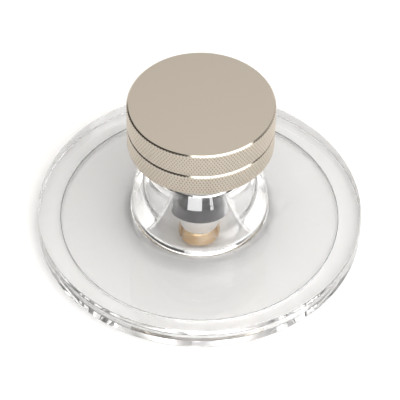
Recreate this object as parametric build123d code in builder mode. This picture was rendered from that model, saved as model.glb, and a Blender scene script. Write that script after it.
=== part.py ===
"""Screw-down record clamp: a clear disc and hub, a closing sleeve, a split collet and a knurled knob.

Millimetres, +Z up. The origin is on the clamp's axis, in the plane of the ring that rests on the label.
The knob is a nut on the collet's shank: turned clockwise, it draws the collet's cone into the sleeve's mouth.
"""

import os
from math import radians, tan

from build123d import *

# Clear disc, as wide as a record's label
disc_radius = 50.0
disc_thickness = 7.3
disc_edge_radius = 0.4
relief_radius = 43.1
relief_depth = 1.5

# Clear hub, one piece with the disc: a barrel over a short straight foot, hollow and tapered inside
hub_radius = 20.8
hub_foot_fillet = 3.4
hub_wall_height = 10.8
hub_height = 30.5
hub_seat_radius = 14.5
hub_roof = 6.5
cavity_radius = 14.0
cavity_wall_height = 6.0
cavity_throat_gap = 0.4

# Turntable spindle and the collet's bore that grips it
spindle_diameter = 7.2
spindle_clearance = 0.05
spindle_bore_top = 22.0

# Screw and draw of the collet
thread_diameter = 10.0
thread_clearance = 0.05
draw_length = 1.0
running_clearance = 0.05
cone_spare = 0.1
cone_half_angle = 15.0

# Brass collet
collet_bottom = 1.0
nose_radius = 7.2
nose_height = 3.0
nose_chamfer = 0.4
shank_radius = 5.4
thread_length = 9.0
jaw_count = 4
jaw_slot_width = 1.0
jaw_slot_top = 24.0

# Closing sleeve, bonded in the hub's roof
sleeve_radius = 11.2
sleeve_bond_gap = 0.05
sleeve_taper_length = 8.2
sleeve_lip = 0.4
flange_radius = 13.0
flange_thickness = 3.8
spigot_radius = 7.0
spigot_height = 4.0

# Key pin that stops the collet from turning
key_pin_diameter = 2.0
key_clearance = 0.05
key_depth = 0.8

# Thrust washer under the knob
washer_radius = 12.0
washer_thickness = 1.0
washer_seat_gap = 0.02

# Knob: two bands of knurl with a V-groove between them
knob_radius = 22.0
knob_height = 16.3
knob_chamfer = 0.4
knob_groove_depth = 0.4
knob_groove_height = 7.7
knob_bore_spare = 0.5

# Heights that follow from the sizes above
flange_top = hub_height + flange_thickness
washer_top = flange_top + washer_thickness
knob_bottom = washer_top + washer_seat_gap
knob_top = knob_bottom + knob_height
spigot_top = knob_bottom + spigot_height
knob_thread_bottom = spigot_top + knob_bore_spare
shank_shoulder = knob_thread_bottom - draw_length - knob_bore_spare
shank_top = knob_thread_bottom + thread_length
cavity_top = hub_height - hub_roof
key_height = hub_height - hub_roof / 2

# Radii and fits that follow from them
spindle_bore_radius = spindle_diameter / 2 + spindle_clearance
thread_radius = thread_diameter / 2
hub_bore_radius = sleeve_radius + sleeve_bond_gap
cavity_throat_radius = sleeve_radius + cavity_throat_gap
sleeve_bore_radius = shank_radius + running_clearance
key_pin_radius = key_pin_diameter / 2
key_floor = shank_radius - key_depth

# The two cones are parallel, and stand apart by the draw and a little spare while the collet is open
cone_slope = tan(radians(cone_half_angle))
nose_shoulder = collet_bottom + nose_height
nose_cone_top = nose_shoulder + (nose_radius - shank_radius) / cone_slope
cone_gap = draw_length + cone_spare
sleeve_bottom = nose_shoulder + draw_length
mouth_radius = nose_radius + (nose_shoulder + cone_gap - sleeve_bottom) * cone_slope
mouth_top = sleeve_bottom + (mouth_radius - sleeve_bore_radius) / cone_slope
sleeve_taper_top = sleeve_bottom + sleeve_taper_length


def ring_edges(part, radius, height):
    """The circular edges of a turned part that have this radius and stand at this height."""
    circles = part.edges().filter_by(GeomType.CIRCLE)
    level = circles.filter_by_position(Axis.Z, height - 0.001, height + 0.001)
    return level.filter_by(lambda edge: abs(edge.radius - radius) < 0.001)


# Clear disc and hub, turned from one blank: the underside is relieved inside the ring on the label, and the
# hub's cavity narrows upwards to the bore that holds the sleeve
hub_drop = hub_radius - hub_seat_radius
hub_rise = hub_height - hub_wall_height
barrel_radius = (hub_rise**2 + hub_drop**2) / (2 * hub_drop)

with BuildPart() as clamp_body:
    with BuildSketch(Plane.XZ):
        with BuildLine():
            barrel = RadiusArc((hub_seat_radius, hub_height), (hub_radius, hub_wall_height), barrel_radius)
            Polyline(
                barrel @ 1,
                (hub_radius, disc_thickness),
                (disc_radius, disc_thickness),
                (disc_radius, 0),
                (relief_radius, 0),
                (relief_radius, relief_depth),
                (cavity_radius, relief_depth),
                (cavity_radius, cavity_wall_height),
                (cavity_throat_radius, cavity_top),
                (hub_bore_radius, cavity_top),
                (hub_bore_radius, hub_height),
                barrel @ 0,
            )
        make_face()
    revolve(axis=Axis.Z)
    fillet(ring_edges(clamp_body, hub_radius, disc_thickness), hub_foot_fillet)
    rim_edges = ring_edges(clamp_body, disc_radius, disc_thickness) + ring_edges(clamp_body, disc_radius, 0)
    fillet(rim_edges, disc_edge_radius)

clamp_body.part.label = "clamp_body"


# Closing sleeve: flange on the hub's seat, spigot that the knob turns on, tapered mouth over the nose
with BuildPart() as closing_sleeve:
    with BuildSketch(Plane.XZ):
        with BuildLine():
            Polyline(
                (sleeve_bore_radius, mouth_top),
                (mouth_radius, sleeve_bottom),
                (mouth_radius + sleeve_lip, sleeve_bottom),
                (sleeve_radius, sleeve_taper_top),
                (sleeve_radius, hub_height),
                (flange_radius, hub_height),
                (flange_radius, flange_top),
                (spigot_radius, flange_top),
                (spigot_radius, spigot_top),
                (sleeve_bore_radius, spigot_top),
                close=True,
            )
        make_face()
    revolve(axis=Axis.Z)
    with BuildSketch(Plane.XZ.offset(-sleeve_radius)):
        with Locations((0, key_height)):
            Circle(key_pin_radius)
    extrude(amount=sleeve_radius - sleeve_bore_radius / 2, mode=Mode.SUBTRACT)

closing_sleeve.part.label = "closing_sleeve"


# Split collet: nose with a closing cone, spindle bore, shank with a keyway and a threaded end
keyway_bottom = key_height - key_pin_radius - draw_length - key_clearance
keyway_top = key_height + key_pin_radius + key_clearance

with BuildPart() as collet:
    with BuildSketch(Plane.XZ):
        with BuildLine():
            Polyline(
                (spindle_bore_radius + nose_chamfer, collet_bottom),
                (nose_radius - nose_chamfer, collet_bottom),
                (nose_radius, collet_bottom + nose_chamfer),
                (nose_radius, nose_shoulder),
                (shank_radius, nose_cone_top),
                (shank_radius, shank_shoulder),
                (thread_radius, shank_shoulder),
                (thread_radius, shank_top),
                (0, shank_top),
                (0, spindle_bore_top),
                (spindle_bore_radius, spindle_bore_top),
                (spindle_bore_radius, collet_bottom + nose_chamfer),
                close=True,
            )
        make_face()
    revolve(axis=Axis.Z)
    with BuildSketch(Plane.XY.offset(collet_bottom)):
        with PolarLocations(0, jaw_count, start_angle=180 / jaw_count):
            Rectangle(2 * nose_radius, jaw_slot_width, align=(Align.MIN, Align.CENTER))
    extrude(amount=jaw_slot_top - collet_bottom, mode=Mode.SUBTRACT)
    with BuildSketch(Plane.XZ.offset(-shank_radius)):
        with Locations((0, (keyway_bottom + keyway_top) / 2)):
            Rectangle(key_pin_diameter + 2 * key_clearance, keyway_top - keyway_bottom)
    extrude(amount=shank_radius - key_floor, mode=Mode.SUBTRACT)

collet.part.label = "collet"


# Key pin, a dowel through the sleeve's wall into the keyway
key_pin_length = sleeve_radius - key_floor - key_clearance

with BuildPart() as key_pin:
    with BuildSketch(Plane.XZ.offset(-sleeve_radius)):
        with Locations((0, key_height)):
            Circle(key_pin_radius)
    extrude(amount=key_pin_length)

key_pin.part.label = "key_pin"


# Thrust washer, between the sleeve's flange and the turning knob
with BuildPart() as thrust_washer:
    with BuildSketch(Plane.XY.offset(flange_top)):
        Circle(washer_radius)
        Circle(spigot_radius + running_clearance, mode=Mode.SUBTRACT)
    extrude(amount=washer_thickness)

thrust_washer.part.label = "thrust_washer"


# Knob, turned in one piece: chamfered edges, a V-groove at the middle of the grip, a blind stepped bore below
groove_middle = knob_bottom + knob_groove_height
knob_thread_radius = thread_radius + thread_clearance
knob_spigot_radius = spigot_radius + running_clearance
knob_thread_top = shank_top + draw_length + knob_bore_spare

with BuildPart() as knob:
    with BuildSketch(Plane.XZ):
        with BuildLine():
            Polyline(
                (knob_spigot_radius, knob_bottom),
                (knob_radius, knob_bottom),
                (knob_radius, groove_middle - knob_groove_depth),
                (knob_radius - knob_groove_depth, groove_middle),
                (knob_radius, groove_middle + knob_groove_depth),
                (knob_radius, knob_top),
                (0, knob_top),
                (0, knob_thread_top),
                (knob_thread_radius, knob_thread_top),
                (knob_thread_radius, knob_thread_bottom),
                (knob_spigot_radius, knob_thread_bottom),
                close=True,
            )
        make_face()
    revolve(axis=Axis.Z)
    grip_edges = ring_edges(knob, knob_radius, knob_bottom) + ring_edges(knob, knob_radius, knob_top)
    chamfer(grip_edges, knob_chamfer)

knob.part.label = "knob"


os.makedirs("parts", exist_ok=True)
for piece in (clamp_body, closing_sleeve, collet, key_pin, thrust_washer, knob):
    export_step(piece.part, f"parts/{piece.part.label}.step")
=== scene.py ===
import math

import bmesh
import bpy
import numpy as np
from mathutils import Matrix, Vector


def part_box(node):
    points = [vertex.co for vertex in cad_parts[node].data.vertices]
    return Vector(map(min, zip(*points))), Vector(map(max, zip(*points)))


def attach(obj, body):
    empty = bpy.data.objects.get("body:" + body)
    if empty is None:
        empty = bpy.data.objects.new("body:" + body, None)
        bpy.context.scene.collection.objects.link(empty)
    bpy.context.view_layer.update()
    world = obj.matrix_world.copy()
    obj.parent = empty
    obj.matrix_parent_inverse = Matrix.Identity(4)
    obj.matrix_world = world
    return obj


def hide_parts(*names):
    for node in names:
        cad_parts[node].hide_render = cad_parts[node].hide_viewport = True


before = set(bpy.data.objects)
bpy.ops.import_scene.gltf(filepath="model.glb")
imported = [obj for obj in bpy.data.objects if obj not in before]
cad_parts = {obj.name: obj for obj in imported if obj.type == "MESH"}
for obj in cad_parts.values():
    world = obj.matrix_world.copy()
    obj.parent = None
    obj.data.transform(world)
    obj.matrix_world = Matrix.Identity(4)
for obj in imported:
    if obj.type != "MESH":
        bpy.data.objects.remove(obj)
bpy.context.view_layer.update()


# Clear disc and hub, turned and polished from one blank of cast acrylic. The disc is as wide as a record's
# label and rests on a ring at its rim; the barrel-shaped hub is hollow, and narrows to the sleeve's bore.
disc_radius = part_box("clamp_body")[1][0]
disc_thickness = 0.0073
disc_edge_radius = 0.0004
relief_radius = 0.0431
relief_depth = 0.0015
shade_line_width = 0.0002
hub_radius = 0.0208
hub_foot_fillet = 0.0034
hub_wall_height = 0.0108
hub_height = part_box("clamp_body")[1][2]
hub_seat_radius = 0.0145
hub_roof = 0.0065
hub_bore_radius = 0.01125
cavity_radius = 0.0140
cavity_wall_height = 0.0060
cavity_throat_radius = 0.0116
cavity_top = hub_height - hub_roof


def arc(center, radius, start, end, steps):
    """Points on a circle in the (radius, height) plane, from one angle to another, in degrees."""
    angle = np.radians(np.linspace(start, end, steps))
    return np.stack([center[0] + radius * np.cos(angle), center[1] + radius * np.sin(angle)], -1)


def held(profile, long_run=0.001, hold=0.00003):
    """Adds a point close to both ends of each long straight run, so that smooth shading keeps it flat."""
    points = np.vstack(profile)
    kept = []
    for start, end in zip(points, np.roll(points, -1, 0)):
        kept.append(start)
        length = np.linalg.norm(end - start)
        if length > long_run:
            step = (end - start) * hold / length
            kept += [start + step, end - step]
    return np.array(kept)


def skin(name, grid, closed=True, split=False, crease=30, weld=1e-7):
    """Joins a grid of points with quads: its columns close up, and its rows too unless they end in two poles.

    When split, each quad is cut in two along the diagonal between points whose row and column add up to even.
    """
    rows, columns = grid.shape[:2]
    corner = np.arange(rows * columns).reshape(rows, columns)
    after = np.roll(corner, -1, 0)
    quads = np.stack([corner, np.roll(corner, -1, 1), np.roll(after, -1, 1), after], -1)
    if not closed:
        quads = quads[:-1]
    faces = quads.reshape(-1, 4)
    if split:
        even = np.indices(quads.shape[:2]).sum(0).reshape(-1, 1) % 2 == 0
        first = np.where(even, faces[:, [0, 1, 2]], faces[:, [1, 2, 3]])
        second = np.where(even, faces[:, [0, 2, 3]], faces[:, [1, 3, 0]])
        faces = np.vstack([first, second])
    mesh = bpy.data.meshes.new(name)
    mesh.from_pydata(grid.reshape(-1, 3).tolist(), [], faces.tolist())
    shell = bmesh.new()
    shell.from_mesh(mesh)
    bmesh.ops.remove_doubles(shell, verts=shell.verts, dist=weld)
    bmesh.ops.recalc_face_normals(shell, faces=shell.faces)
    shell.to_mesh(mesh)
    shell.free()
    mesh.shade_smooth()
    mesh.set_sharp_from_angle(angle=math.radians(crease))
    piece = bpy.data.objects.new(name, mesh)
    bpy.context.scene.collection.objects.link(piece)
    return piece


def turned(name, profile, steps=288, crease=30):
    """Carries a closed profile of (radius, height) round the axis: x = r cos t, y = r sin t, z = h."""
    angle = np.linspace(0, 2 * np.pi, steps, endpoint=False)
    radius, height = np.vstack(profile).T
    levels = np.repeat(height[:, None], steps, 1)
    grid = np.stack([np.outer(radius, np.cos(angle)), np.outer(radius, np.sin(angle)), levels], -1)
    return skin(name, grid, crease=crease)


class Shade:
    """A value in one material's nodes: arithmetic on it adds Math nodes."""

    def __init__(self, tree, socket=None):
        self.tree = tree
        self.socket = socket

    def node(self, kind, settings, inputs, output=0):
        """Adds a node of that kind, sets its settings, then the values or links of its sockets."""
        node = self.tree.nodes.new("ShaderNode" + kind)
        for setting, value in settings.items():
            setattr(node, setting, value)
        for entry, value in inputs.items():
            self.feed(node.inputs[entry], value)
        return Shade(self.tree, node.outputs[output])

    def feed(self, entry, value):
        if isinstance(value, Shade):
            self.tree.links.new(value.socket, entry)
        else:
            entry.default_value = value

    def math(self, operation, *values):
        return self.node("Math", {"operation": operation}, dict(enumerate(values)))

    def mix(self, factor, first, second):
        """A colour between two, by a factor."""
        return self.node("Mix", {"data_type": "RGBA"}, {"Factor": factor, "A": first, "B": second}, "Result")

    def __add__(self, other):
        return self.math("ADD", self, other)

    def __rsub__(self, other):
        return self.math("SUBTRACT", other, self)

    def __mul__(self, other):
        return self.math("MULTIPLY", self, other)

    __radd__ = __add__
    __rmul__ = __mul__


def finish(name, constants):
    """A material with one Principled shader that has these constant values, and its tree as a Shade."""
    material = bpy.data.materials.new(name)
    material.use_nodes = True
    shader = material.node_tree.nodes["Principled BSDF"]
    for entry, value in constants.items():
        shader.inputs[entry].default_value = value
    return material, Shade(material.node_tree), shader


def lathe_place(tree):
    """The place on the piece, and its radius from the axis and height along it."""
    place = tree.node("TexCoord", {}, {}, output="Object")
    flat = tree.node("VectorMath", {"operation": "MULTIPLY"}, {0: place, 1: (1, 1, 0)})
    radius = tree.node("VectorMath", {"operation": "LENGTH"}, {0: flat}, output="Value")
    level = tree.node("SeparateXYZ", {}, {0: place}, output="Z")
    return place, radius, level


def polished_acrylic():
    """Clear acrylic, water white, with a very faint haze where the polishing mop left off.

    The corner of the relief has a thin dark line of painted shade.
    """
    material, tree, shader = finish("polished_acrylic", {"IOR": 1.49, "Transmission Weight": 1})
    place, radius, level = lathe_place(tree)
    # Painted shade: a thin dark line at the top of the relief's wall.
    on_wall = tree.math("COMPARE", radius, relief_radius, shade_line_width)
    at_top = tree.math("COMPARE", level, relief_depth, 2 * shade_line_width)
    painted_tone = tree.mix(on_wall * at_top, (1, 1, 1, 1), (0.12, 0.12, 0.13, 1))
    tree.feed(shader.inputs["Base Color"], painted_tone)
    haze = tree.node("TexNoise", {}, {"Vector": place, "Scale": 90, "Detail": 3})
    tree.feed(shader.inputs["Roughness"], 0.006 * haze)
    return material


hub_drop = hub_radius - hub_seat_radius
hub_rise = hub_height - hub_wall_height
barrel_radius = (hub_rise**2 + hub_drop**2) / (2 * hub_drop)
barrel_seat_angle = math.degrees(math.asin(hub_rise / barrel_radius))
foot_center = (hub_radius + hub_foot_fillet, disc_thickness + hub_foot_fillet)
rim_inset = disc_radius - disc_edge_radius
clear_profile = [
    arc((hub_radius - barrel_radius, hub_wall_height), barrel_radius, barrel_seat_angle, 0, 48),
    arc(foot_center, hub_foot_fillet, 180, 270, 24),
    arc((rim_inset, disc_thickness - disc_edge_radius), disc_edge_radius, 90, 0, 8),
    arc((rim_inset, disc_edge_radius), disc_edge_radius, 0, -90, 8),
    [(relief_radius, 0), (relief_radius, relief_depth), (cavity_radius, relief_depth)],
    [(cavity_radius, cavity_wall_height)],
    [(cavity_throat_radius, cavity_top), (hub_bore_radius, cavity_top), (hub_bore_radius, hub_height)],
]
clear_disc = turned("clear_disc", held(clear_profile), steps=720)
clear_disc.data.materials.append(polished_acrylic())
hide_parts("clamp_body")
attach(clear_disc, "clamp")


# Closing sleeve, turned from steel and chromium plated, bonded in the hub's roof. Its flange sits on the hub,
# its spigot carries the knob, and its lower end tapers to a mouth that closes the collet.
sleeve_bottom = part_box("closing_sleeve")[0][2]
spigot_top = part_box("closing_sleeve")[1][2]
flange_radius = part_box("closing_sleeve")[1][0]
flange_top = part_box("thrust_washer")[0][2]
sleeve_radius = 0.01120
sleeve_bore_radius = 0.00545
sleeve_taper_length = 0.0082
sleeve_taper_top = sleeve_bottom + sleeve_taper_length
sleeve_lip = 0.0004
spigot_radius = 0.0070
mouth_radius = 0.00723
mouth_slope = math.tan(math.radians(15))
mouth_top = sleeve_bottom + (mouth_radius - sleeve_bore_radius) / mouth_slope


def mirror_plate():
    """Chromium plate, polished like a mirror, with painted shade on the cylinder and painted light on the
    rougher taper.
    """
    material, tree, shader = finish("mirror_plate", {"Metallic": 1})
    place, radius, level = lathe_place(tree)
    # Painted shade and light: the plate is near black on the cylinder, standing in for dark reflections, and
    # near white on the taper, which lies in shade.
    taper = tree.math("LESS_THAN", level, sleeve_taper_top)
    painted_tone = tree.mix(taper, (0.045, 0.043, 0.047, 1), (0.93, 0.92, 0.91, 1))
    tree.feed(shader.inputs["Base Color"], painted_tone)
    tree.feed(shader.inputs["Roughness"], 0.03 + 0.3 * taper)
    return material


sleeve_profile = [
    (sleeve_bore_radius, mouth_top),
    (mouth_radius, sleeve_bottom),
    (mouth_radius + sleeve_lip, sleeve_bottom),
    (sleeve_radius, sleeve_taper_top),
    (sleeve_radius, hub_height),
    (flange_radius, hub_height),
    (flange_radius, flange_top),
    (spigot_radius, flange_top),
    (spigot_radius, spigot_top),
    (sleeve_bore_radius, spigot_top),
]
polished_sleeve = turned("polished_sleeve", sleeve_profile, crease=5)
polished_sleeve.data.materials.append(mirror_plate())
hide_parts("closing_sleeve")
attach(polished_sleeve, "clamp")


# Split collet, turned from brass: four jaws round the spindle's bore, a nose with a closing cone, and a shank
# that screws into the knob. It keeps its solid, because the saw cuts between the jaws are there.
def turned_metal(name, roughness, dull, bright, marks_per_metre):
    """Metal with the fine rings that a turning tool leaves: noise along the radius and the height."""
    material, tree, shader = finish(name, {"Metallic": 1})
    place, radius, level = lathe_place(tree)
    track = tree.node("CombineXYZ", {}, {"X": radius, "Y": level})
    rings = tree.node("TexNoise", {}, {"Vector": track, "Scale": marks_per_metre, "Detail": 2})
    cloud = tree.node("TexNoise", {}, {"Vector": place, "Scale": 160, "Detail": 4})
    tree.feed(shader.inputs["Base Color"], tree.mix(cloud, dull, bright))
    tree.feed(shader.inputs["Roughness"], roughness * (0.7 + 0.6 * rings))
    relief = tree.node("Bump", {}, {"Strength": 0.3, "Distance": 1e-6, "Height": rings})
    tree.feed(shader.inputs["Normal"], relief)
    return material


turned_brass = turned_metal("turned_brass", 0.14, (0.70, 0.48, 0.26, 1), (0.90, 0.67, 0.40, 1), 5000)
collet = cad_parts["collet"]
collet.data.materials.clear()
collet.data.materials.append(turned_brass)


# Key pin and thrust washer, ground steel: the pin stops the collet from turning, and the washer lies loose
# on the sleeve's flange under the knob. Both keep their solids.
ground_steel = turned_metal("ground_steel", 0.3, (0.50, 0.50, 0.50, 1), (0.62, 0.62, 0.61, 1), 6000)
for name in ("key_pin", "thrust_washer"):
    steel_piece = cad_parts[name]
    steel_piece.data.materials.clear()
    steel_piece.data.materials.append(ground_steel)


# Knob, turned in one piece and plated satin: two bands of diamond knurl with a V-groove between them,
# chamfered edges, a plain satin top and a blind bore that screws onto the collet's shank.
knob_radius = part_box("knob")[1][0]
knob_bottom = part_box("knob")[0][2]
knob_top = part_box("knob")[1][2]
knob_chamfer = 0.00055
groove_depth = 0.00055
groove_height = 0.0077
groove_middle = knob_bottom + groove_height
knob_spigot_radius = 0.00705
knob_counterbore_depth = 0.0045
knob_thread_radius = 0.00505
knob_thread_bottom = knob_bottom + knob_counterbore_depth
knob_bore_depth = 0.0150
knob_thread_top = knob_bottom + knob_bore_depth
knurl_count = 136
knurl_depth = 0.00022
knurl_helix = math.radians(30)
knurl_pitch = 2 * math.pi * knob_radius / knurl_count
diamond_height = knurl_pitch / math.tan(knurl_helix)
pit_shade_start = 0.35
pit_floor = knob_radius - knurl_depth
face_skin = 0.00002


def grip_rows(high, low):
    """Rows (radius, height, knurled, lift) of a knurled band, half a diamond apart.

    At both ends the pits run out into the cone of the chamfer or groove, higher or lower by their own depth.
    """
    heights = np.linspace(high, low, round((high - low) / diamond_height * 2) + 1)
    lifts = np.zeros(len(heights))
    lifts[0], lifts[-1] = 1, -1
    return [(knob_radius, height, 1, lift) for height, lift in zip(heights, lifts)]


def satin_nickel():
    """Satin nickel plate, a warm grey with faint rings from the lathe; the knurl's pits are darkened with
    painted shade.

    The chamfers and the groove were cut after the knurling and are bright.
    """
    material, tree, shader = finish("satin_nickel", {"Metallic": 1})
    place, radius, level = lathe_place(tree)
    rings = tree.node("TexNoise", {"noise_dimensions": "1D"}, {"W": radius, "Scale": 9000, "Detail": 2})
    blast = tree.node("TexNoise", {}, {"Vector": place, "Scale": 4000, "Detail": 2})
    # Painted shade: the base colour darkens down into the knurl's pits, except where the chamfers and the
    # groove were cut.
    pit_shade = tree.node("MapRange", {}, {
        "Value": radius, "From Min": knob_radius - pit_shade_start * knurl_depth, "From Max": pit_floor,
    })
    half_chamfer = knob_chamfer / 2
    cut = tree.math("COMPARE", level, groove_middle, groove_depth)
    for edge in (knob_top - half_chamfer, knob_bottom + half_chamfer):
        cut = cut + tree.math("COMPARE", level, edge, half_chamfer - face_skin)
    knurled = tree.math("GREATER_THAN", radius, pit_floor - face_skin) * (1 - cut)
    painted_tone = tree.mix(knurled * pit_shade, (0.575, 0.515, 0.44, 1), (0.17, 0.15, 0.125, 1))
    tree.feed(shader.inputs["Base Color"], painted_tone)
    tree.feed(shader.inputs["Roughness"], (0.30 + 0.10 * rings + 0.05 * blast) * (1 - 0.6 * cut))
    relief = tree.node("Bump", {}, {"Strength": 0.25, "Distance": 1.5e-6, "Height": rings + blast})
    tree.feed(shader.inputs["Normal"], relief)
    return material


knob_profile = np.array([
    (0, knob_top, 0, 0),
    (knob_radius - knob_chamfer, knob_top, 0, 0),
    *grip_rows(knob_top - knob_chamfer, groove_middle + groove_depth),
    (knob_radius - groove_depth, groove_middle, 0, 0),
    *grip_rows(groove_middle - groove_depth, knob_bottom + knob_chamfer),
    (knob_radius - knob_chamfer, knob_bottom, 0, 0),
    (knob_spigot_radius, knob_bottom, 0, 0),
    (knob_spigot_radius, knob_thread_bottom, 0, 0),
    (knob_thread_radius, knob_thread_bottom, 0, 0),
    (knob_thread_radius, knob_thread_top, 0, 0),
    (0, knob_thread_top, 0, 0),
])
knob_angle = np.linspace(0, 2 * np.pi, 2 * knurl_count, endpoint=False)
pits = knurl_depth * (np.indices((len(knob_profile), len(knob_angle))).sum(0) % 2)
knob_reach = knob_profile[:, 0:1] - knob_profile[:, 2:3] * pits
knob_level = knob_profile[:, 1:2] + knob_profile[:, 3:4] * pits
knob_grid = np.stack([knob_reach * np.cos(knob_angle), knob_reach * np.sin(knob_angle), knob_level], -1)
knurled_knob = skin("knurled_knob", knob_grid, closed=False, split=True)
knurled_knob.data.materials.append(satin_nickel())
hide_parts("knob")
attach(knurled_knob, "knob")


# Floor, a wide sheet of matt white board. It lies just under the ring that the disc rests on, so that the
# two faces don't meet.
floor_half = 3.0
floor_drop = 0.0001
floor_mesh = bpy.data.meshes.new("floor")
floor_corners = [(-1, -1), (1, -1), (1, 1), (-1, 1)]
floor_points = [(x * floor_half, y * floor_half, -floor_drop) for x, y in floor_corners]
floor_mesh.from_pydata(floor_points, [], [(0, 1, 2, 3)])
floor = bpy.data.objects.new("floor", floor_mesh)
bpy.context.scene.collection.objects.link(floor)
floor_mesh.materials.append(finish("white_board", {"Base Color": (0.9, 0.9, 0.9, 1), "Roughness": 0.9})[0])


# Studio light: a soft box to the front right, and two upright strips in front, flagged off all but the clear
# hub. The room is dim in front, pale behind, more so on the right, and bright overhead.
lamp_distance = 0.9
room_tint = (1, 0.98, 0.95, 1)
room_axis = (0.4, 0.92, 0)
room_front = 0.09
room_back = 0.82
pale_from = 0.1
pale_to = 0.95
room_crown = 2.7
crown_from = 0.73


def soft_box(name, azimuth, elevation, size, power):
    """A rectangular lamp at that bearing from the object, aimed at the hub."""
    turn, tilt = math.radians(azimuth), math.radians(elevation)
    bearing = Vector((math.sin(turn) * math.cos(tilt), -math.cos(turn) * math.cos(tilt), math.sin(tilt)))
    lamp = bpy.data.lights.new(name, "AREA")
    lamp.shape = "RECTANGLE"
    lamp.size, lamp.size_y = size
    lamp.energy = power
    holder = bpy.data.objects.new(name, lamp)
    holder.location = bearing * lamp_distance
    holder.rotation_euler = (-bearing).to_track_quat("-Z", "Y").to_euler()
    bpy.context.scene.collection.objects.link(holder)
    return holder


soft_box("key_box", azimuth=36, elevation=46, size=(1.2, 0.6), power=7.5)
broad_strip = soft_box("broad_strip", azimuth=-8, elevation=8, size=(0.38, 0.24), power=5)
narrow_strip = soft_box("narrow_strip", azimuth=20, elevation=8, size=(0.08, 0.24), power=0.8)
flagged = bpy.data.collections.new("lit_by_strips")
flagged.objects.link(clear_disc)
for strip in (broad_strip, narrow_strip):
    strip.light_linking.receiver_collection = flagged

room = bpy.data.worlds.new("room")
bpy.context.scene.world = room
room.use_nodes = True
room_tree = Shade(room.node_tree)
bearing = room_tree.node("TexCoord", {}, {}, output="Generated")
depth = room_tree.node("VectorMath", {"operation": "DOT_PRODUCT"}, {0: bearing, 1: room_axis}, output="Value")
glow = room_tree.node("MapRange", {}, {
    "Value": depth, "From Min": pale_from, "From Max": pale_to, "To Min": room_front, "To Max": room_back,
})
height = room_tree.node("SeparateXYZ", {}, {0: bearing}, output="Z")
crown = room_tree.node("MapRange", {"interpolation_type": "SMOOTHSTEP"}, {
    "Value": height, "From Min": crown_from, "From Max": 1, "To Min": 0, "To Max": room_crown,
})
backdrop = room.node_tree.nodes["Background"]
backdrop.inputs["Color"].default_value = room_tint
room_tree.feed(backdrop.inputs["Strength"], glow + crown)


# Camera, a long lens that looks down at the clamp, aimed at the axis a little above the disc. It is rolled
# by about a degree.
elevation = math.radians(47.4)
distance = 0.600
aim_height = 0.00965
side_step = 0.0001
focal_pixels = 1945.6
picture_pixels = 400
roll = math.radians(1.03)
camera_data = bpy.data.cameras.new("camera")
camera_data.sensor_width = 36
camera_data.lens = camera_data.sensor_width * focal_pixels / picture_pixels
camera = bpy.data.objects.new("camera", camera_data)
bpy.context.scene.collection.objects.link(camera)
right = Vector((1, 0, 0))
backwards = Vector((0, -math.cos(elevation), math.sin(elevation)))
facing = Matrix((right, backwards.cross(right), backwards)).transposed().to_4x4()
stand = Matrix.Translation(backwards * distance + Vector((side_step, 0, aim_height)))
camera.matrix_world = stand @ facing @ Matrix.Rotation(roll, 4, "Z")
bpy.context.scene.camera = camera

scene = bpy.context.scene
scene.view_settings.view_transform = "Standard"
scene.cycles.max_bounces = 24
scene.cycles.transmission_bounces = 20
scene.cycles.glossy_bounces = 12
scene.cycles.diffuse_bounces = 6
